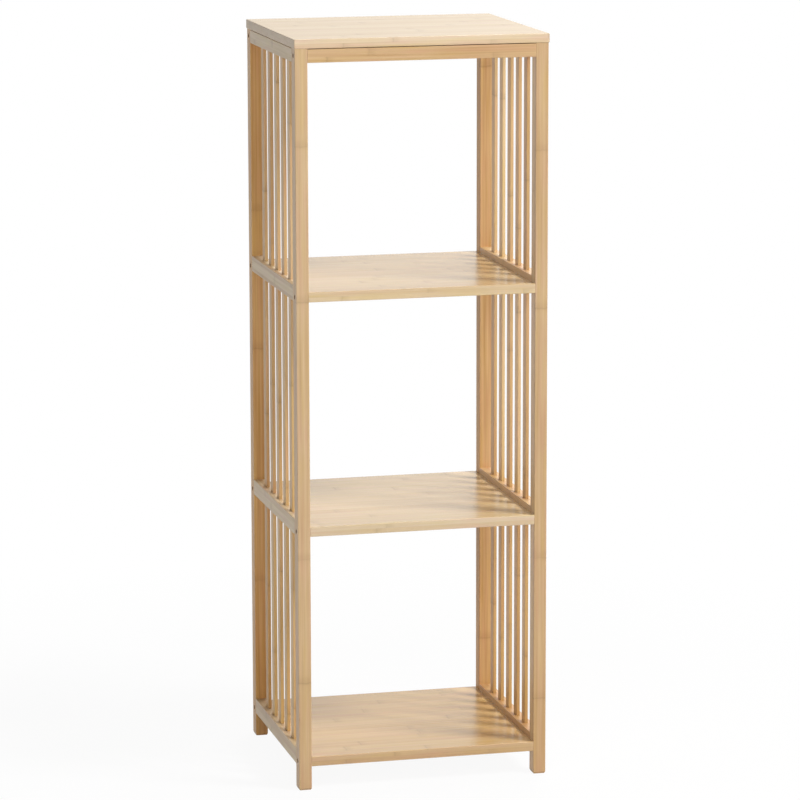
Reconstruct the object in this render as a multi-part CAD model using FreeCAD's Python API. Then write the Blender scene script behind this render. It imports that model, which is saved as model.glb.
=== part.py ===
import FreeCAD, Part
import math
import os
from FreeCAD import Vector

# A tall open rack of bamboo: two slatted side frames that carry a top panel and three shelves.
# Millimetres. X runs across the front, Y from the front to the back, Z up from the floor.
# The origin is the middle of the footprint, on the floor.

# Whole rack
frame_width = 340.0
frame_depth = 300.0
foot_clearance = 32.0
bay_clear_height = 299.5
bay_count = 3

# Boards
shelf_thickness = 13.0
shelf_edge_radius = 1.0
panel_thickness = 12.0
panel_overhang = 1.0
panel_edge_radius = 1.0

# Posts
post_width = 17.0
post_depth = 20.0
post_edge_radius = 1.0
foot_taper_inset = 1.0
foot_taper_height = 2.2

# Side rails and aprons
rail_rise = 8.0
rail_edge_radius = 0.8
rail_tenon_thickness = 7.0
rail_tenon_length = 6.0
rail_tenon_shoulder = 3.5
apron_thickness = 17.0
apron_height = 17.7
panel_joint = 0.8

# Slats of the side frames
slats_per_bay = 5
slat_thickness = 4.6
slat_width = 15.5
slat_edge_radius = 0.7
slat_seat_depth = 6.0
slat_front_margin = 52.0
slat_back_margin = 46.0
slat_inset = 8.0

# Bolts that tie the boards to the posts, and their threaded inserts
bolt_dia = 4.0
bolt_hole_play = 0.4
bolt_head_dia = 6.0
bolt_head_height = 3.0
bolt_head_radius = 0.4
bolt_recess_play = 0.4
bolt_recess_depth = 5.0
bolt_tip_chamfer = 0.5
hex_key_size = 3.0
hex_key_depth = 1.8
insert_dia = 6.0
insert_length = 12.0
insert_set_back = 0.5
insert_groove_depth = 0.4
insert_groove_width = 1.0
insert_groove_count = 4
insert_hole_play = 0.2
thread_play = 0.2
bolt_past_insert = 0.5
bolt_hole_end_play = 2.0

# Dowels between the posts and the top panel
dowel_dia = 6.0
dowel_in_post = 6.0
dowel_in_panel = 8.0
dowel_chamfer = 0.6
dowel_hole_play = 0.2

# Fits of the glued joints
joint_play = 0.1
joint_end_play = 0.3
cut_overrun = 1.0

# Places that follow from the sizes above
half_width = frame_width / 2
half_depth = frame_depth / 2
inner_half_width = half_width - post_width
inner_half_depth = half_depth - post_depth
bay_pitch = shelf_thickness + bay_clear_height
apron_bottom = foot_clearance + bay_count * bay_pitch
post_height = apron_bottom + apron_height + panel_joint
rail_height = shelf_thickness + rail_rise
post_middle_x = half_width - post_width / 2
post_middle_y = half_depth - post_depth / 2
slat_middle_x = inner_half_width + slat_inset
apron_bolt_z = apron_bottom + apron_height / 2
bolt_reach = insert_set_back + insert_length + bolt_past_insert
sides = {"left": -1, "right": 1}
ends = {"front": -1, "back": 1}
level_names = ["lower", "middle", "upper"]


# Common shapes

def block(low, high):
    """Plain box between two corners."""
    size = high.sub(low)
    return Part.makeBox(size.x, size.y, size.z, low)


def eased_block(low, high, along, radius):
    """Box whose four edges along one axis are rounded."""
    shape = block(low, high)
    picked = []
    for edge in shape.Edges:
        run = edge.Vertexes[1].Point.sub(edge.Vertexes[0].Point)
        if abs(run.normalize().dot(along)) > abs(run.cross(along).Length):
            picked.append(edge)
    return shape.makeFillet(radius, picked)


def rounded_outline(middle, width, depth, radius):
    """Closed outline of a rectangle with round corners, level with the floor."""
    edges = []
    reach_x = width / 2 - radius
    reach_y = depth / 2 - radius
    corners = [(1, 1), (-1, 1), (-1, -1), (1, -1)]
    ring = []
    for turn, (sign_x, sign_y) in enumerate(corners):
        centre = middle.add(Vector(sign_x * reach_x, sign_y * reach_y, 0))
        points = []
        for step in range(3):
            angle = math.pi / 2 * (turn + step / 2)
            points.append(centre.add(Vector(math.cos(angle), math.sin(angle), 0).multiply(radius)))
        ring.append(points)
    for index, points in enumerate(ring):
        following = ring[(index + 1) % len(ring)]
        edges.append(Part.Arc(*points).toShape())
        edges.append(Part.LineSegment(points[-1], following[0]).toShape())
    return Part.Wire(edges)


def rounded_prism(middle, width, depth, radius, height):
    """Upright bar with round corners, standing on the given middle point."""
    face = Part.Face(rounded_outline(middle, width, depth, radius))
    return face.extrude(Vector(0, 0, height))


def round_bar(start, direction, diameter, length):
    return Part.makeCylinder(diameter / 2, length, start, direction)


# Where things lie

def level_bottom(level):
    """Underside of a shelf and of the rails beside it."""
    return foot_clearance + level * bay_pitch


def bolt_heights():
    """Heights of the bolts up a post, from the lower shelf to the apron."""
    heights = [level_bottom(level) + shelf_thickness / 2 for level in range(bay_count)]
    heights.append(apron_bolt_z)
    return heights


def slat_middles():
    """Places of the slats along a rail, evenly spaced and a little nearer the back post."""
    run = inner_half_depth * 2 - slat_front_margin - slat_back_margin
    pitch = run / (slats_per_bay - 1)
    first = slat_front_margin - inner_half_depth
    return [first + pitch * index for index in range(slats_per_bay)]


def rail_span(level):
    """Bottom and top of the rail at a level; the last level is the top rail."""
    if level < bay_count:
        return level_bottom(level), level_bottom(level) + rail_height
    return apron_bottom, apron_bottom + apron_height


# Posts: four uprights of solid strip bamboo with tapered feet, drilled for bolts and dowels

def rail_tenon(side, end, level, play, end_play):
    """Tongue of a rail end, or the mortise for it when it is given play."""
    bottom, top = rail_span(level)
    reach = inner_half_depth + rail_tenon_length + end_play
    half = rail_tenon_thickness / 2 + play
    middle = side * post_middle_x
    seat = inner_half_depth - cut_overrun
    near, far = sorted((end * seat, end * reach))
    low = Vector(middle - half, near, bottom + rail_tenon_shoulder - play)
    high = Vector(middle + half, far, top - rail_tenon_shoulder + play)
    return block(low, high)


def bolt_hole(side, end, height):
    """Through hole for a bolt, with the recess for its head on the outer face."""
    inward = Vector(-side, 0, 0)
    outside = Vector(side * (half_width + cut_overrun), end * post_middle_y, height)
    recess_dia = bolt_head_dia + bolt_recess_play
    hole_dia = bolt_dia + bolt_hole_play
    recess = round_bar(outside, inward, recess_dia, bolt_recess_depth + cut_overrun)
    hole = round_bar(outside, inward, hole_dia, post_width + cut_overrun * 2)
    return recess.fuse(hole)


def dowel_hole(side, end, depth_below, depth_above):
    """Blind hole for a dowel, below or above the joint of post and panel."""
    foot = Vector(side * post_middle_x, end * post_middle_y, post_height - depth_below)
    return round_bar(foot, Vector(0, 0, 1), dowel_dia + dowel_hole_play, depth_below + depth_above)


def make_post(side, end):
    foot = Vector(side * post_middle_x, end * post_middle_y, 0)
    shoulder = foot.add(Vector(0, 0, foot_taper_height))
    shrink = foot_taper_inset * 2
    small = rounded_outline(foot, post_width - shrink, post_depth - shrink, post_edge_radius)
    full = rounded_outline(shoulder, post_width, post_depth, post_edge_radius)
    taper = Part.makeLoft([small, full], True, True)
    rise = post_height - foot_taper_height
    shaft = rounded_prism(shoulder, post_width, post_depth, post_edge_radius, rise)
    post = taper.fuse(shaft)
    cuts = [bolt_hole(side, end, height) for height in bolt_heights()]
    for level in range(bay_count + 1):
        cuts.append(rail_tenon(side, end, level, joint_play, joint_end_play))
    cuts.append(dowel_hole(side, end, dowel_in_post + joint_end_play, cut_overrun))
    return post.cut(cuts)


# Side rails: flush with the post faces, tongued into the posts and slotted for the slats

def slat_slot(side, middle_y, bottom, height):
    middle = Vector(side * slat_middle_x, middle_y, bottom)
    width = slat_thickness + joint_play * 2
    depth = slat_width + joint_play * 2
    return rounded_prism(middle, width, depth, slat_edge_radius + joint_play, height)


def make_rail(side, level):
    bottom, top = rail_span(level)
    near, far = sorted((side * inner_half_width, side * half_width))
    low = Vector(near, -inner_half_depth, bottom)
    high = Vector(far, inner_half_depth, top)
    rail = eased_block(low, high, Vector(0, 1, 0), rail_edge_radius)
    for end in ends.values():
        rail = rail.fuse(rail_tenon(side, end, level, 0, 0))
    slot_depth = slat_seat_depth + joint_end_play
    cuts = []
    for middle_y in slat_middles():
        if level > 0:
            slot_bottom = bottom - cut_overrun
            cuts.append(slat_slot(side, middle_y, slot_bottom, slot_depth + cut_overrun))
        if level < bay_count:
            cuts.append(slat_slot(side, middle_y, top - slot_depth, slot_depth + cut_overrun))
    return rail.cut(cuts)


# Slats: thin flat laths that stand between two rails and seat in their slots

def make_slat(side, level, middle_y):
    bottom = rail_span(level)[1] - slat_seat_depth
    top = rail_span(level + 1)[0] + slat_seat_depth
    foot = Vector(side * slat_middle_x, middle_y, bottom)
    return rounded_prism(foot, slat_thickness, slat_width, slat_edge_radius, top - bottom)


# Aprons: the front and back bars under the panel, a hair below it, bolted between the posts

def insert_hole(side, end, height):
    """Hole in the end of a board for a threaded insert and the tip of its bolt."""
    outside = Vector(side * (inner_half_width + cut_overrun), end * post_middle_y, height)
    depth = bolt_reach + bolt_hole_end_play + cut_overrun
    return round_bar(outside, Vector(-side, 0, 0), insert_dia + insert_hole_play, depth)


def make_apron(end):
    near, far = sorted((end * half_depth, end * (half_depth - apron_thickness)))
    low = Vector(-inner_half_width, near, apron_bottom)
    high = Vector(inner_half_width, far, apron_bottom + apron_height)
    apron = eased_block(low, high, Vector(1, 0, 0), rail_edge_radius)
    return apron.cut([insert_hole(side, end, apron_bolt_z) for side in sides.values()])


# Shelves: boards glued up from strips, as deep as the rack, held between the side frames

def make_shelf(level):
    low = Vector(-inner_half_width, -half_depth, level_bottom(level))
    high = Vector(inner_half_width, half_depth, level_bottom(level) + shelf_thickness)
    shelf = eased_block(low, high, Vector(1, 0, 0), shelf_edge_radius)
    height = level_bottom(level) + shelf_thickness / 2
    cuts = []
    for side in sides.values():
        for end in ends.values():
            cuts.append(insert_hole(side, end, height))
    return shelf.cut(cuts)


# Top panel: lies on the four posts over the dowels and stands out a little all round

def make_top_panel():
    reach_x = half_width + panel_overhang
    reach_y = half_depth + panel_overhang
    low = Vector(-reach_x, -reach_y, post_height)
    high = Vector(reach_x, reach_y, post_height + panel_thickness)
    panel = block(low, high)
    panel = panel.makeFillet(panel_edge_radius, panel.Edges)
    cuts = []
    for side in sides.values():
        for end in ends.values():
            cuts.append(dowel_hole(side, end, cut_overrun, dowel_in_panel + joint_end_play))
    return panel.cut(cuts)


# Bolts: steel, sunk below the outer faces of the posts, with a hexagon socket

def make_bolt(side, end, height):
    inward = Vector(-side, 0, 0)
    seat_x = side * (half_width - bolt_recess_depth)
    seat = Vector(seat_x, end * post_middle_y, height)
    head = round_bar(seat, Vector(side, 0, 0), bolt_head_dia, bolt_head_height)
    face_x = seat_x + side * bolt_head_height
    outer = max(head.Edges, key=lambda edge: side * edge.CenterOfMass.x)
    head = head.makeFillet(bolt_head_radius, [outer])
    shank_length = post_width - bolt_recess_depth + bolt_reach
    shank = round_bar(seat, inward, bolt_dia, shank_length)
    tip = min(shank.Edges, key=lambda edge: side * edge.CenterOfMass.x)
    shank = shank.makeChamfer(bolt_tip_chamfer, [tip])
    corner_reach = hex_key_size / math.sqrt(3)
    points = []
    for corner in range(7):
        angle = math.pi / 3 * corner
        offset = Vector(0, math.cos(angle), math.sin(angle)).multiply(corner_reach)
        points.append(Vector(face_x + side * cut_overrun, seat.y, seat.z).add(offset))
    socket = Part.Face(Part.makePolygon(points))
    socket = socket.extrude(inward.multiply(hex_key_depth + cut_overrun))
    return head.fuse(shank).cut(socket)


# Inserts: brass sleeves with grooved outsides, set into the ends of the boards

def make_insert(side, end, height):
    inward = Vector(-side, 0, 0)
    start_x = side * (inner_half_width - insert_set_back)
    start = Vector(start_x, end * post_middle_y, height)
    body = round_bar(start, inward, insert_dia, insert_length)
    bore = round_bar(start, inward, bolt_dia + thread_play, insert_length)
    pitch = insert_length / (insert_groove_count + 1)
    cuts = [bore]
    for index in range(insert_groove_count):
        middle = pitch * (index + 1) - insert_groove_width / 2
        groove_start = Vector(start_x - side * middle, start.y, start.z)
        outer = round_bar(groove_start, inward, insert_dia + cut_overrun, insert_groove_width)
        root_dia = insert_dia - insert_groove_depth * 2
        root = round_bar(groove_start, inward, root_dia, insert_groove_width)
        cuts.append(outer.cut(root))
    return body.cut(cuts)


# Dowels: hardwood pins with chamfered ends, half in a post and half in the panel

def make_dowel(side, end):
    foot = Vector(side * post_middle_x, end * post_middle_y, post_height - dowel_in_post)
    dowel = round_bar(foot, Vector(0, 0, 1), dowel_dia, dowel_in_post + dowel_in_panel)
    rims = [edge for edge in dowel.Edges if isinstance(edge.Curve, Part.Circle)]
    return dowel.makeChamfer(dowel_chamfer, rims)


# All pieces, one file each

def build():
    nodes = {"top_panel": [make_top_panel()]}
    for end_name, end in ends.items():
        nodes["apron_" + end_name] = [make_apron(end)]
        for side_name, side in sides.items():
            place = end_name + "_" + side_name
            heights = bolt_heights()
            nodes["post_" + place] = [make_post(side, end)]
            nodes["bolts_" + place] = [make_bolt(side, end, height) for height in heights]
            nodes["inserts_" + place] = [make_insert(side, end, height) for height in heights]
    for side_name, side in sides.items():
        for level, level_name in enumerate(level_names + ["top"]):
            nodes["rail_" + side_name + "_" + level_name] = [make_rail(side, level)]
        for level, level_name in enumerate(level_names):
            for number, middle_y in enumerate(slat_middles(), 1):
                name = "slat_" + side_name + "_" + level_name + "_" + str(number)
                nodes[name] = [make_slat(side, level, middle_y)]
    for level, level_name in enumerate(level_names):
        nodes["shelf_" + level_name] = [make_shelf(level)]
    pins = [make_dowel(side, end) for side in sides.values() for end in ends.values()]
    nodes["dowels"] = pins
    return nodes


os.makedirs("parts", exist_ok=True)
for name, solids in build().items():
    shape = solids[0] if len(solids) == 1 else Part.makeCompound(solids)
    shape.exportStep("parts/" + name + ".step")
    print(name, len(shape.Solids), shape.isValid(), round(shape.Volume, 1))
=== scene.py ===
import math

import bpy
from mathutils import Matrix, Vector

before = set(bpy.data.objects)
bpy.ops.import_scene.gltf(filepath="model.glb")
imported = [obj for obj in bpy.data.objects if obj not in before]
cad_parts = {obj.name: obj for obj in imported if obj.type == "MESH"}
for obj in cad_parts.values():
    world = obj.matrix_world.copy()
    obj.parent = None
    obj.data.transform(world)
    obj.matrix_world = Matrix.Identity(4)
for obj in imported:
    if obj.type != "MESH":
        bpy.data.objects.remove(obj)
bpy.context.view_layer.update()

# Posts: four uprights glued up from three upright strips of bamboo and planed square. They
# are sanded, clear varnished and drilled for the bolts; the tapered feet show the ends of the
# fibres. The back posts get deeper, browner shades than the front ones: partly their own tone
# and partly painted shade for the shade and warm bounce light inside the rack.


class Value:
    """A number or colour on its way through a finish; sums and products add Math nodes."""

    def __init__(self, finish, socket):
        self.finish = finish
        self.socket = socket

    def maths(self, operation, first, second=0.0):
        return self.finish.add("ShaderNodeMath", {"operation": operation}, {0: first, 1: second})

    def __add__(self, other):
        return self.maths("ADD", self, other)

    __radd__ = __add__

    def __sub__(self, other):
        return self.maths("SUBTRACT", self, other)

    def __rsub__(self, other):
        return self.maths("SUBTRACT", other, self)

    def __mul__(self, other):
        return self.maths("MULTIPLY", self, other)

    __rmul__ = __mul__

    def __truediv__(self, other):
        return self.maths("DIVIDE", self, other)

    def __pow__(self, other):
        return self.maths("POWER", self, other)

    def __abs__(self):
        return self.maths("ABSOLUTE", self)

    def whole(self):
        return self.maths("FLOOR", self)

    def clipped(self):
        return self.maths("MINIMUM", self.maths("MAXIMUM", self, 0.0), 1.0)

    def above(self, start, steepness):
        """0 up to the start, then rising to 1."""
        return ((self - start) * steepness).clipped()

    def below(self, start, steepness):
        """0 from the start on, and rising to 1 below it."""
        return ((start - self) * steepness).clipped()

    def bell(self, width):
        """1 at zero, falling off smoothly to nearly nothing at twice the width."""
        ratio = self / width
        return self.maths("POWER", math.e, ratio * ratio * -1.0)


class Finish:
    """The nodes of a material or of the surround."""

    def __init__(self, owner):
        owner.use_nodes = True
        self.owner = owner
        self.tree = owner.node_tree
        self.tree.nodes.clear()

    def add(self, kind, settings=None, inputs=None, output=0):
        node = self.tree.nodes.new(kind)
        for key, value in (settings or {}).items():
            if key == "stops":
                self.set_stops(node.color_ramp, value)
            else:
                setattr(node, key, value)
        for key, value in (inputs or {}).items():
            if isinstance(value, Value):
                self.tree.links.new(value.socket, node.inputs[key])
            else:
                node.inputs[key].default_value = value
        return Value(self, node.outputs[output]) if node.outputs else None

    @staticmethod
    def set_stops(ramp, stops):
        while len(ramp.elements) > 1:
            ramp.elements.remove(ramp.elements[-1])
        for index, (place, shade) in enumerate(stops):
            element = ramp.elements[0] if index == 0 else ramp.elements.new(place)
            element.position = place
            element.color = shade

    def place(self):
        """The three coordinates of the point, in metres, on the rack's own axes."""
        return self.split(self.add("ShaderNodeTexCoord", output="Object"))

    def facing(self):
        """The three parts of the direction in which the surface faces."""
        return self.split(self.add("ShaderNodeTexCoord", output="Normal"))

    def split(self, vector):
        kind = "ShaderNodeSeparateXYZ"
        return [self.add(kind, inputs={0: vector}, output=axis) for axis in range(3)]

    def vector(self, x, y, z):
        return self.add("ShaderNodeCombineXYZ", inputs={0: x, 1: y, 2: z})

    def grain(self, per_metre, detail, fine_share=0.5, along=None, stretch=None):
        """Noise with so many grains in a metre, or fewer and longer ones along one axis."""
        place = self.place()
        scaled = [axis * per_metre for axis in place]
        if along is not None:
            scaled[along] = place[along] * stretch
        vector = self.vector(*scaled)
        settings = {"noise_dimensions": "3D"}
        inputs = {"Vector": vector, "Scale": 1.0, "Detail": detail, "Roughness": fine_share}
        return self.add("ShaderNodeTexNoise", settings, inputs)

    def chance(self, x, y, z):
        """A steady random number from 0 to 1 for each cell."""
        settings = {"noise_dimensions": "3D"}
        return self.add("ShaderNodeTexWhiteNoise", settings, {"Vector": self.vector(x, y, z)})

    def blend(self, amount, first, second, how="MIX"):
        settings = {"data_type": "RGBA", "blend_type": how}
        return self.add("ShaderNodeMix", settings, {0: amount, 6: first, 7: second}, output=2)

    def tinted(self, amount, tone, tint):
        return self.blend(amount, tone, colour(*tint), how="MULTIPLY")

    def bump(self, height, strength, distance):
        inputs = {"Strength": strength, "Distance": distance, "Height": height}
        return self.add("ShaderNodeBump", inputs=inputs)

    def surface(self, sockets):
        shader = self.add("ShaderNodeBsdfPrincipled", inputs=sockets)
        self.add("ShaderNodeOutputMaterial", inputs={"Surface": shader})
        return self.owner


def colour(red, green, blue, share=1.0):
    """A colour as a screen shows it, from 0 to 255, turned into linear light."""
    parts = []
    for part in (red, green, blue):
        level = min(255, part * share) / 255
        parts.append(level / 12.92 if level <= 0.04045 else ((level + 0.055) / 1.055) ** 2.4)
    return (*parts, 1.0)


ACROSS, DEEP, UPRIGHT = range(3)

# Bamboo: how its strips differ, from 0 for the palest shade to 1 for the deepest
SHADE_STOPS = (0.12, 0.48, 0.86)
TONE_START = -0.38
STRIP_TONE = 0.4
PIECE_TONE = 0.16
STREAK_TONE = 0.9
DRIFT_TONE = 0.3
DARK_SHARE = 0.66
SPECK_SHARE = 0.82
LIGHT_SHARE = 1.05

# Bamboo: knuckles, in metres, and their place as a share of each length of a strip
KNUCKLE_SPACING = 0.26
KNUCKLE_LINE = 0.0011
KNUCKLE_SWELLING = 0.006
KNUCKLE_WAVE = 0.005
WAVES_PER_METRE = 160.0
KNUCKLE_FIRST = 0.3
KNUCKLE_RANGE = 0.4
KNUCKLE_LEAST = 0.3
KNUCKLE_VARIES = 0.6
KNUCKLE_SHOWS = 0.28
SWELLING_SHOWS = 0.2

# Bamboo: fibres, streaks, hues and glue lines
FIBRES_PER_METRE = 1100.0
FIBRE_STRETCH = 10.0
FIBRE_DETAIL = 2.0
FIBRE_FINE_SHARE = 0.6
FIBRE_SHOWS = 0.24
FIBRE_CONTRAST = 5.0
DARK_FIBRE = 0.52
PALE_FIBRE = 0.42
STREAKS_PER_METRE = 240.0
STREAK_STRETCH = 4.0
STREAK_DETAIL = 3.0
STREAK_FINE_SHARE = 0.55
DRIFTS_PER_METRE = 7.0
HUES_PER_METRE = 170.0
HUE_STRETCH = 12.0
HUE_CONTRAST = 4.0
ROSY = (255, 246, 254)
STRAW = (253, 252, 235)
GLUE_LINE = 0.0002
GLUE_SHOWS = 0.16

# Bamboo: sanded corners, cut ends, varnish, relief, and painted shade near the floor and in the
# bolt recesses
EDGE_RUB = 0.0015
RUB_SAMPLES = 4
RUB_STEEPNESS = 6.0
RUB_LEAST = 0.05
RUB_STREAKS = 0.5
END_DARKENING = 0.3
END_ROUGHENING = 0.15
END_SLANT = 0.15
FLAT_SLANT = 0.6
SLANT_STEEPNESS = 4.0
# How high the painted shade near the floor reaches
PAINTED_LOW_SHADE_REACH = 0.6
ROUGHNESS_VARIES = 0.12
FIBRE_RELIEF = 0.4
GLUE_RELIEF = -0.3
RELIEF_STRENGTH = 0.12
RELIEF_HEIGHT = 0.0002
# The dark brown of the bolt recesses: partly bare wood, partly painted shade
RECESS_BARE_AND_SHADE_BROWN = (92, 64, 40)

# Far apart, so that the numbers of neighbouring strips and pieces never meet
STRIP_SET = 3.0
PIECE_STEP = 97.0
KNUCKLE_STEP = 53.0
LENGTH_STEP = 7.0


def bamboo(name, along, cut, shades, roughness, shine, tints_with_painted_shade=None, painted_recess_shade=None, painted_low_shade=None):
    """Varnished bamboo: strips side by side, each with its own shade and its own knuckles.

    The fibres run along one axis. cut holds the strips, the layers and the boxes. Strips and
    layers each give an axis across the fibres, the width of a strip that way and the place of
    one joint. The boxes part the space by a size and a start on each axis, and pieces in
    different boxes get different strips. The face tint colours the flat faces and the edges,
    partly as painted shade. The tint near the floor is painted shade, darker and warmer towards
    the bottom. The recess mask tells where the piece is drilled, and its walls get a dark brown
    that is partly bare wood and partly painted shade.
    """
    strips, layers, boxes = cut
    finish = Finish(bpy.data.materials.new(name))
    place = finish.place()
    piece = [((axis - start) / size).whole() for axis, (size, start) in zip(place, boxes)]
    owner = finish.chance(*piece)
    cells = []
    glue = 0.0
    for axis, width, joint in (strips, layers):
        count = (place[axis] - joint) / width
        cells.append(count.whole())
        to_joint = (0.5 - abs(count - cells[-1] - 0.5)) * width
        glue = to_joint.bell(GLUE_LINE) + glue
    strip_chance = finish.chance(cells[0], cells[1] + owner * PIECE_STEP, STRIP_SET)

    # Knuckles: one at a random place in each length of a strip
    lengths = place[along] / KNUCKLE_SPACING + strip_chance * LENGTH_STEP
    number = lengths.whole()
    knuckle_chance = finish.chance(cells[0], number, cells[1] + owner * KNUCKLE_STEP)
    wave = finish.grain(WAVES_PER_METRE, detail=2.0) - 0.5
    knuckle_place = knuckle_chance * KNUCKLE_RANGE + KNUCKLE_FIRST
    from_knuckle = (lengths - number - knuckle_place) * KNUCKLE_SPACING + wave * KNUCKLE_WAVE
    boldness = knuckle_chance * KNUCKLE_VARIES + KNUCKLE_LEAST
    knuckle_line = from_knuckle.bell(KNUCKLE_LINE) * boldness
    swelling = (from_knuckle - KNUCKLE_SWELLING / 2).bell(KNUCKLE_SWELLING)

    # Fibres: long thin streaks, which show as specks where a piece is cut across
    fibres = finish.grain(
        FIBRES_PER_METRE, FIBRE_DETAIL, FIBRE_FINE_SHARE, along, FIBRE_STRETCH
    )
    streaks = finish.grain(
        STREAKS_PER_METRE, STREAK_DETAIL, STREAK_FINE_SHARE, along, STREAK_STRETCH
    )
    drift = finish.grain(DRIFTS_PER_METRE, detail=1.0)

    depth = strip_chance * STRIP_TONE + owner * PIECE_TONE + streaks * STREAK_TONE
    depth = depth + drift * DRIFT_TONE + TONE_START
    stops = [(stop, colour(*shade)) for stop, shade in zip(SHADE_STOPS, shades)]
    tone = finish.add("ShaderNodeValToRGB", {"stops": stops}, {0: depth.clipped()})
    dark = colour(*shades[-1], share=DARK_SHARE)
    speck = colour(*shades[-1], share=SPECK_SHARE)
    light = colour(*shades[0], share=LIGHT_SHARE)
    tone = finish.blend(fibres.above(DARK_FIBRE, FIBRE_CONTRAST) * FIBRE_SHOWS, tone, speck)
    tone = finish.blend(fibres.below(PALE_FIBRE, FIBRE_CONTRAST) * FIBRE_SHOWS, tone, light)
    tone = finish.blend(swelling * SWELLING_SHOWS, tone, speck)
    tone = finish.blend(knuckle_line * KNUCKLE_SHOWS, tone, dark)
    tone = finish.blend(glue * GLUE_SHOWS, tone, dark)

    # Some lengths are a little rosier and some more like straw
    hue = finish.grain(HUES_PER_METRE, detail=1.0, along=along, stretch=HUE_STRETCH)
    tone = finish.tinted(hue.above(0.5, HUE_CONTRAST), tone, ROSY)
    tone = finish.tinted(hue.below(0.5, HUE_CONTRAST), tone, STRAW)

    # Corners are rubbed paler by the sanding
    rounded = finish.add("ShaderNodeBevel", {"samples": RUB_SAMPLES}, {"Radius": EDGE_RUB})
    face = finish.add("ShaderNodeNewGeometry", output="Normal")
    compare = {"operation": "DOT_PRODUCT"}
    agreeing = finish.add("ShaderNodeVectorMath", compare, {0: rounded, 1: face}, output="Value")
    rubbed = agreeing.below(1.0, RUB_STEEPNESS)
    tone = finish.blend(rubbed * (streaks * RUB_STREAKS + RUB_LEAST), tone, light)

    # Ends cut across the fibres drink the varnish: darker and duller. Slanting faces, such as
    # the tapered feet, count as ends too, and there the darkening is partly painted shade
    facing = [abs(part) for part in finish.facing()]
    end = facing[along].above(END_SLANT, SLANT_STEEPNESS)
    tone = finish.blend(end * END_DARKENING, tone, dark)
    # Flat faces tinted warmer and deeper than the edges: partly painted shade
    if tints_with_painted_shade:
        flat = facing[UPRIGHT].above(FLAT_SLANT, SLANT_STEEPNESS)
        tone = finish.tinted(flat, tone, tints_with_painted_shade[0])
        tone = finish.tinted(1.0 - flat, tone, tints_with_painted_shade[1])
    # Painted shade: the tone grows darker and warmer towards the floor
    if painted_low_shade:
        tone = finish.tinted((1.0 - place[UPRIGHT] / PAINTED_LOW_SHADE_REACH).clipped(), tone, painted_low_shade)
    # Painted shade in the bolt recesses, partly the bare drilled wood
    if painted_recess_shade:
        tone = finish.blend(painted_recess_shade(finish), tone, colour(*RECESS_BARE_AND_SHADE_BROWN))

    relief = fibres * FIBRE_RELIEF + glue * GLUE_RELIEF
    return finish.surface({
        "Base Color": tone,
        "Roughness": (fibres - 0.5) * ROUGHNESS_VARIES + end * END_ROUGHENING + roughness,
        "Normal": finish.bump(relief, RELIEF_STRENGTH, RELIEF_HEIGHT),
        "Specular IOR Level": shine,
    })


def dress(names, material):
    """Gives the named pieces of the rack their finish."""
    for name in names:
        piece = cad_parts[name]
        piece.data.materials.clear()
        piece.data.materials.append(material)


# The outer faces of the posts lie this far from the middle of the rack
RACK_SIDE = 0.17
RACK_FRONT = 0.15
POST_WIDTH = 0.017
POST_DEPTH = 0.02
POST_STRIPS = 3
INNER_SIDE = RACK_SIDE - POST_WIDTH
INNER_FRONT = RACK_FRONT - POST_DEPTH
# Boxes along one axis: their size and where they start
TWO_HALVES = (0.4, -0.4)
UNDIVIDED = (9.0, -4.0)
POST_BOXES = (TWO_HALVES, TWO_HALVES, UNDIVIDED)
POST_SIDES = (ACROSS, POST_WIDTH, INNER_SIDE)
POST_CUT = (POST_SIDES, (DEEP, POST_DEPTH / POST_STRIPS, INNER_FRONT), POST_BOXES)
POST_SHADES = ((226, 203, 166), (214, 184, 143), (196, 159, 115))
# Deeper, browner shades for the back posts: partly their own tone, partly painted shade
BACK_LEFT_TONES_WITH_PAINTED_SHADE = ((240, 206, 151), (217, 174, 113), (183, 131, 69))
BACK_RIGHT_TONES_WITH_PAINTED_SHADE = ((239, 209, 165), (217, 178, 129), (182, 133, 80))
# Painted shade near the floor: the posts darker and warmer towards the bottom
FRONT_PAINTED_LOW_SHADE = (255, 250, 243)
BACK_PAINTED_LOW_SHADE = (254, 248, 238)
BAR_ROUGHNESS = 0.4
# Shades (those of the back posts partly painted shade), shine, and the tint near the floor,
# which is painted shade
POST_LOOKS_WITH_PAINTED_SHADE = {
    "front_left": (POST_SHADES, 0.38, FRONT_PAINTED_LOW_SHADE),
    "front_right": (POST_SHADES, 0.3, FRONT_PAINTED_LOW_SHADE),
    "back_left": (BACK_LEFT_TONES_WITH_PAINTED_SHADE, 0.5, BACK_PAINTED_LOW_SHADE),
    "back_right": (BACK_RIGHT_TONES_WITH_PAINTED_SHADE, 0.12, BACK_PAINTED_LOW_SHADE),
}
# Where the recesses of the bolts lie, from the middle of the rack, and how far they reach
BOLT_LINE = 0.14
BOLT_RECESS = 0.0034
POST_MIDDLE = RACK_SIDE - POST_WIDTH / 2
POST_HALF = 0.0083
FOOT_BOTTOM = 0.006
SHARP_RIM = 5000.0


def bolt_recess_shade_mask(finish):
    """The walls of the bolts' recesses, which get a dark brown: partly bare drilled wood, partly
    painted shade.
    """
    x, y, z = finish.place()
    beside = abs(abs(y) - BOLT_LINE).below(BOLT_RECESS, SHARP_RIM)
    within = abs(abs(x) - POST_MIDDLE).below(POST_HALF, SHARP_RIM)
    return beside * within * z.above(FOOT_BOTTOM, SHARP_RIM)


for corner, (shades, shine, painted_low_shade) in POST_LOOKS_WITH_PAINTED_SHADE.items():
    post_finish = bamboo(
        corner + "_post_bamboo", UPRIGHT, POST_CUT, shades, BAR_ROUGHNESS, shine,
        painted_recess_shade=bolt_recess_shade_mask, painted_low_shade=painted_low_shade,
    )
    dress(["post_" + corner], post_finish)

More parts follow.
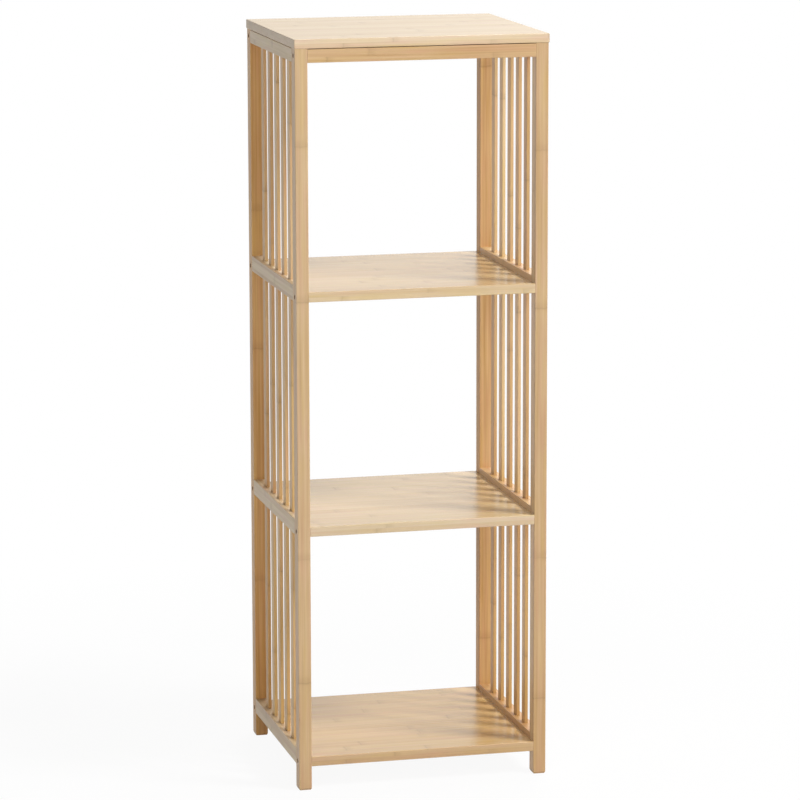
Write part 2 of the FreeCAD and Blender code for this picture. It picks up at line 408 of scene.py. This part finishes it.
# Side rails and aprons: bars of the same strip bamboo, glued between the posts. The rails run
# from front to back and the aprons across; their fibres follow their length. The difference
# between the shades of the two sides is painted light: the right rails browner and warmer for
# the warm bounce light on their inner faces, the left rails paler for the sheen on their outer
# faces.

LOWEST_RAIL = 0.032
RAIL_HEIGHT = 0.021
RAIL_STRIPS = 3
BAY_PITCH = 0.3125
EACH_LEVEL = (BAY_PITCH, -0.1)
BAR_STRIPS = (UPRIGHT, RAIL_HEIGHT / 2, LOWEST_RAIL)
RAIL_BOXES = (TWO_HALVES, UNDIVIDED, EACH_LEVEL)
RAIL_CUT = (BAR_STRIPS, (ACROSS, POST_WIDTH / RAIL_STRIPS, INNER_SIDE), RAIL_BOXES)
RAIL_SHINE = 0.4
# Shades, whose difference between the sides is painted light, and the tint near the floor, which
# is painted shade
RAIL_LOOKS_WITH_PAINTED_LIGHT = {
    "left": (((226, 207, 174), (212, 188, 151), (194, 162, 122)), (255, 250, 243)),
    "right": (((228, 198, 154), (215, 178, 130), (197, 153, 102)), (254, 245, 230)),
}
APRON_THICKNESS = 0.017
APRON_LAYERS = (DEEP, APRON_THICKNESS / 2, RACK_FRONT - APRON_THICKNESS)
APRON_CUT = (BAR_STRIPS, APRON_LAYERS, (UNDIVIDED, TWO_HALVES, UNDIVIDED))
APRON_SHADES = ((224, 199, 163), (209, 179, 139), (190, 153, 108))
APRON_SHINE = 0.1

levels = ["lower", "middle", "upper"]
for side, (shades, painted_low_shade) in RAIL_LOOKS_WITH_PAINTED_LIGHT.items():
    rail_finish = bamboo(
        side + "_rail_bamboo", DEEP, RAIL_CUT, shades, BAR_ROUGHNESS, RAIL_SHINE, painted_low_shade=painted_low_shade
    )
    dress(["rail_" + side + "_" + level for level in levels + ["top"]], rail_finish)
apron_finish = bamboo(
    "apron_bamboo", ACROSS, APRON_CUT, APRON_SHADES, BAR_ROUGHNESS, APRON_SHINE
)
dress(["apron_front", "apron_back"], apron_finish)

# Slats: thin flat laths, each one strip of bamboo planed to 4.6 mm, with softened edges and a
# glossier varnish than the bars. They seat in slots in the rails.

SLAT_PITCH = 0.0405
SLATS_PER_BAY = 5
SLAT_ROW_MIDDLE = 0.003
EACH_SLAT = (SLAT_PITCH, SLAT_ROW_MIDDLE - SLATS_PER_BAY / 2 * SLAT_PITCH)
EACH_BAY = (BAY_PITCH, LOWEST_RAIL + RAIL_HEIGHT / 2)
SLAT_BOXES = (TWO_HALVES, EACH_SLAT, EACH_BAY)
SLAT_CUT = (POST_SIDES, (DEEP, SLAT_PITCH, SLAT_ROW_MIDDLE + SLAT_PITCH / 2), SLAT_BOXES)
SLAT_SHADES = ((222, 194, 150), (206, 171, 124), (186, 146, 99))
# Painted shade near the floor: the slats darker and warmer towards the bottom
SLAT_PAINTED_LOW_SHADE = (252, 243, 215)
SLAT_ROUGHNESS = 0.38
SLAT_SHINE = 0.3

slat_finish = bamboo(
    "slat_bamboo", UPRIGHT, SLAT_CUT, SLAT_SHADES, SLAT_ROUGHNESS, SLAT_SHINE, painted_low_shade=SLAT_PAINTED_LOW_SHADE
)
for side in RAIL_LOOKS_WITH_PAINTED_LIGHT:
    for level in levels:
        row = "slat_" + side + "_" + level + "_"
        dress([row + str(number + 1) for number in range(SLATS_PER_BAY)], slat_finish)

# Shelves: boards pressed from two layers of strips that run across the rack, sanded flat and
# varnished. They are paler and glossier than the bars. Bolts through the posts hold their ends.

BOARD_STRIP = 0.02
BOARD_STRIPS = (DEEP, BOARD_STRIP, BOARD_STRIP / 2)
SHELF_THICKNESS = 0.013
# Layers of half a board, a whole number of them in a bay, so that all boards are cut alike
LAYERS_PER_BAY = 48
SHELF_LAYERS = (UPRIGHT, BAY_PITCH / LAYERS_PER_BAY, LOWEST_RAIL + SHELF_THICKNESS / 2)
SHELF_CUT = (BOARD_STRIPS, SHELF_LAYERS, (UNDIVIDED, UNDIVIDED, EACH_LEVEL))
BOARD_SHADES = ((230, 213, 184), (224, 204, 171), (214, 189, 151))
BOARD_ROUGHNESS = 0.24
SHELF_SHINE = 0.6
# A warm tint of the flat faces, partly painted shade
FLAT_TINT_WITH_PAINTED_SHADE = (243, 231, 205)
# Colours of the flat faces and of the edges; the warmer, deeper flat faces are partly painted
# shade
SHELF_TINTS_WITH_PAINTED_SHADE = {
    "lower": ((243, 224, 187), (239, 220, 197)),
    "middle": ((250, 242, 224), (252, 248, 243)),
    "upper": (FLAT_TINT_WITH_PAINTED_SHADE, (252, 245, 236)),
}

for level, tints_with_painted_shade in SHELF_TINTS_WITH_PAINTED_SHADE.items():
    shelf_finish = bamboo(
        level + "_shelf_bamboo", ACROSS, SHELF_CUT, BOARD_SHADES, BOARD_ROUGHNESS,
        SHELF_SHINE, tints_with_painted_shade,
    )
    dress(["shelf_" + level], shelf_finish)

# Top panel: a board of the same kind as the shelves but 12 mm thick. It lies on the tops of
# the posts, where dowels hold it, and stands out about 1 mm all round.

PANEL_THICKNESS = 0.012
RACK_TOP = 1.0
PANEL_LAYERS = (UPRIGHT, PANEL_THICKNESS / 2, RACK_TOP - PANEL_THICKNESS / 2)
PANEL_CUT = (BOARD_STRIPS, PANEL_LAYERS, (UNDIVIDED, UNDIVIDED, UNDIVIDED))
# The panel's flat faces take the same warm tint, partly painted shade
PANEL_TINTS_WITH_PAINTED_SHADE = (FLAT_TINT_WITH_PAINTED_SHADE, (247, 243, 242))
PANEL_SHINE = 0.48

panel_finish = bamboo(
    "panel_bamboo", ACROSS, PANEL_CUT, BOARD_SHADES, BOARD_ROUGHNESS, PANEL_SHINE, PANEL_TINTS_WITH_PAINTED_SHADE
)
dress(["top_panel"], panel_finish)

# Bolts: blackened steel with a hexagon socket, sunk in recesses in the posts. The blacking
# is dull, with fine turning marks on the head.

CLOUDS_PER_METRE = 90.0
CLOUD_TONE = 0.5
MARK_TONE = 0.3
WORN_SHARE = 0.7
MARK_ROUGHENING = 0.2
MARK_STRENGTH = 0.2
MARK_HEIGHT = 0.0001
BOLT_SHADE = (74, 72, 70)
BOLT_ROUGHNESS = 0.42
BOLT_MARKS = 2600.0


def metal(name, shade, roughness, marks_per_metre):
    """Turned metal: fine marks from the tool under a faint cloudiness."""
    finish = Finish(bpy.data.materials.new(name))
    marks = finish.grain(marks_per_metre, detail=3.0)
    clouds = finish.grain(CLOUDS_PER_METRE, detail=2.0)
    wear = (clouds * CLOUD_TONE + marks * MARK_TONE).clipped()
    return finish.surface({
        "Base Color": finish.blend(wear, colour(*shade), colour(*shade, share=WORN_SHARE)),
        "Metallic": 1.0,
        "Roughness": (marks - 0.5) * MARK_ROUGHENING + roughness,
        "Normal": finish.bump(marks, MARK_STRENGTH, MARK_HEIGHT),
    })


bolt_finish = metal("bolt_steel", BOLT_SHADE, BOLT_ROUGHNESS, BOLT_MARKS)
dress(["bolts_" + corner for corner in POST_LOOKS_WITH_PAINTED_SHADE], bolt_finish)

# Inserts: grooved brass sleeves in the ends of the boards and the aprons, out of sight once
# the rack is bolted together. The bolts screw into them.

BRASS_SHADE = (196, 164, 92)
BRASS_ROUGHNESS = 0.3
BRASS_MARKS = 1800.0

insert_finish = metal("insert_brass", BRASS_SHADE, BRASS_ROUGHNESS, BRASS_MARKS)
dress(["inserts_" + corner for corner in POST_LOOKS_WITH_PAINTED_SHADE], insert_finish)

# Dowels: raw hardwood pins between the post tops and the panel, with no varnish. They are
# glued into blind holes and don't show.

DOWEL_CUT = (POST_SIDES, (DEEP, POST_DEPTH, INNER_FRONT), POST_BOXES)
DOWEL_SHADES = ((222, 190, 146), (208, 172, 126), (190, 150, 104))
DOWEL_ROUGHNESS = 0.6
DOWEL_SHINE = 0.2

dowel_finish = bamboo(
    "dowel_hardwood", UPRIGHT, DOWEL_CUT, DOWEL_SHADES, DOWEL_ROUGHNESS, DOWEL_SHINE
)
dress(["dowels"], dowel_finish)

# Studio: a plain white floor that keeps the rack's shadow, a white surround and four soft
# lamps: a small one high on the right, and three large ones in front, on the left and behind.

FLOOR_REACH = 6.0
FLOOR_WHITE = (0.8, 0.8, 0.8, 1.0)
PURE_WHITE = (1.0, 1.0, 1.0, 1.0)
SHADOW_REACH = 0.6
GLOW_NEAR = 0.93
GLOW_RISE = 0.07
FILL_LIGHT = 0.06


def seen_directly(finish):
    """1 for what the camera sees, also in a mirror or through glass, and 0 for light itself."""
    kinds = ("Is Camera Ray", "Is Glossy Ray", "Is Transmission Ray")
    camera_ray, mirrored, through = [
        finish.add("ShaderNodeLightPath", output=kind) for kind in kinds
    ]
    return (camera_ray + mirrored + through).clipped()


floor_mesh = bpy.data.meshes.new("floor")
floor_corners = [
    (-FLOOR_REACH, -FLOOR_REACH, 0),
    (FLOOR_REACH, -FLOOR_REACH, 0),
    (FLOOR_REACH, FLOOR_REACH, 0),
    (-FLOOR_REACH, FLOOR_REACH, 0),
]
floor_mesh.from_pydata(floor_corners, [], [(0, 1, 2, 3)])
floor = bpy.data.objects.new("floor", floor_mesh)
bpy.context.scene.collection.objects.link(floor)

floor_paint = Finish(bpy.data.materials.new("floor_white"))
matt = floor_paint.add("ShaderNodeBsdfDiffuse", inputs={"Color": FLOOR_WHITE})
glow = floor_paint.add("ShaderNodeEmission", inputs={"Color": PURE_WHITE, "Strength": 1.0})
floor_x, floor_y = floor_paint.place()[:2]
from_rack = (floor_x * floor_x + floor_y * floor_y) ** 0.5
away = ((from_rack - SHADOW_REACH) / SHADOW_REACH).clipped()
glow_share = seen_directly(floor_paint) * (away * GLOW_RISE + GLOW_NEAR)
mixed = floor_paint.add("ShaderNodeMixShader", inputs={0: glow_share, 1: matt, 2: glow})
floor_paint.add("ShaderNodeOutputMaterial", inputs={"Surface": mixed})
floor_mesh.materials.append(floor_paint.owner)

world = bpy.data.worlds.new("studio")
bpy.context.scene.world = world
surround = Finish(world)
strength = seen_directly(surround) * (1.0 - FILL_LIGHT) + FILL_LIGHT
sky = surround.add("ShaderNodeBackground", inputs={"Color": PURE_WHITE, "Strength": strength})
surround.add("ShaderNodeOutputWorld", inputs={"Surface": sky})

RACK_MIDDLE = Vector((0, 0, 0.5))
# Azimuth (0 in front, 90 on the right), elevation, distance, size and power
SOFTBOXES = {
    "key_softbox": (54.0, 42.0, 4.8, 1.2, 205.0),
    "front_softbox": (-10.0, 35.0, 5.4, 2.4, 36.0),
    "left_softbox": (-35.0, 15.0, 6.0, 2.5, 96.0),
    "back_softbox": (150.0, 42.0, 6.0, 3.0, 190.0),
}


def gaze(turn, rise):
    """A direction so far turned from straight back toward the right, and so far risen."""
    level = math.cos(rise)
    return Vector((math.sin(turn) * level, math.cos(turn) * level, math.sin(rise)))


for name, (azimuth, elevation, distance, size, power) in SOFTBOXES.items():
    turn = math.radians(180.0 - azimuth)
    outward = gaze(turn, math.radians(elevation))
    lamp_data = bpy.data.lights.new(name, "AREA")
    lamp_data.shape = "SQUARE"
    lamp_data.size = size
    lamp_data.energy = power
    lamp = bpy.data.objects.new(name, lamp_data)
    lamp.location = RACK_MIDDLE + outward * distance
    lamp.rotation_euler = (-outward).to_track_quat("-Z", "Y").to_euler()
    bpy.context.scene.collection.objects.link(lamp)

# Camera: a long lens a little above the top panel and to the left, as in the photograph.
# The lens is shifted by a few pixels only, as much as the framing needs.

CAMERA_PLACE = (-1.25773, -5.09521, 1.48782)
CAMERA_YAW = 0.243113
CAMERA_PITCH = 0.179175
CAMERA_ROLL = 0.002032
FOCAL_PIXELS = 3943.66
FRAME_PIXELS = 800
SENSOR = 36.0
AXIS_RISE_PIXELS = 32
FAR_CLIP = 50.0

lens = bpy.data.cameras.new("camera")
lens.sensor_width = SENSOR
lens.lens = FOCAL_PIXELS / FRAME_PIXELS * SENSOR
lens.shift_y = -AXIS_RISE_PIXELS / FRAME_PIXELS
lens.clip_end = FAR_CLIP
camera = bpy.data.objects.new("camera", lens)
forward = gaze(CAMERA_YAW, -CAMERA_PITCH)
level_right = Vector((math.cos(CAMERA_YAW), -math.sin(CAMERA_YAW), 0.0))
level_up = level_right.cross(forward)
right = level_right * math.cos(CAMERA_ROLL) - level_up * math.sin(CAMERA_ROLL)
up = level_up * math.cos(CAMERA_ROLL) + level_right * math.sin(CAMERA_ROLL)
stance = Matrix((right, up, -forward)).transposed().to_4x4()
camera.matrix_world = Matrix.Translation(CAMERA_PLACE) @ stance
bpy.context.scene.collection.objects.link(camera)
bpy.context.scene.camera = camera

bpy.context.scene.view_settings.view_transform = "Standard"
